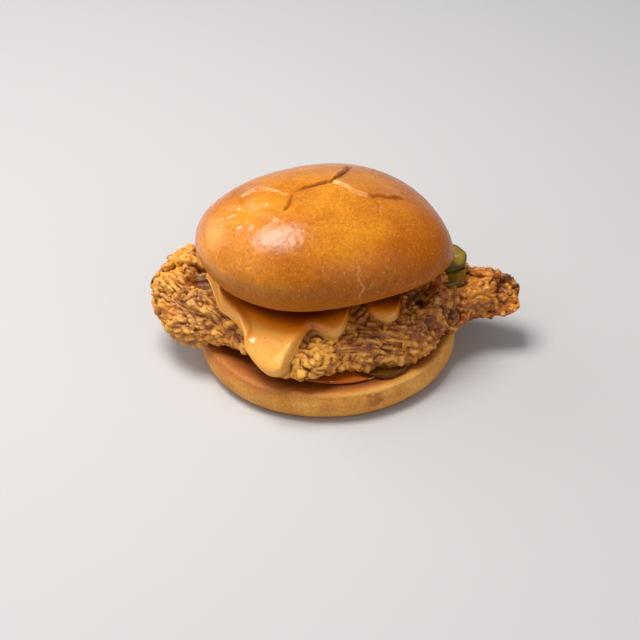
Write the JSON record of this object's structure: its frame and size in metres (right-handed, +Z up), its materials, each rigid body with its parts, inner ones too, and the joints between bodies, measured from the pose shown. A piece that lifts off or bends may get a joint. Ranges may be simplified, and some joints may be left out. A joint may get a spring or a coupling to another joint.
{
  "type": "fried chicken burger",
  "caption": "Fried chicken burger: glossy brioche crown and heel, a craggy fillet that sticks out at both sides, a sauce that runs down the front, pickle slices.",
  "frame": {"origin": "centre of the heel's flat underside, on the surface that the burger stands on", "axes": "+X along the fillet, towards its narrow end; -Y towards the side on which the sauce runs down; +Z up"},
  "size_m": [0.183, 0.1239, 0.0894],
  "materials": {
    "crust": "egg-washed golden-brown bread crust, satin to glossy",
    "bread": "matte golden bread",
    "breading": "craggy fried breading with a slight oily sheen",
    "sauce": "glossy orange sauce",
    "pickle": "wet olive-green pickle"
  },
  "bodies": {
    "root": {"bun_crown": "crust", "bun_heel": "bread", "chicken_fillet": "breading", "sauce_top": "sauce", "sauce_heel": "sauce", "pickle_heel": "pickle", "pickle_side_lower": "pickle", "pickle_side_upper": "pickle"}
  },
  "joints": []
}
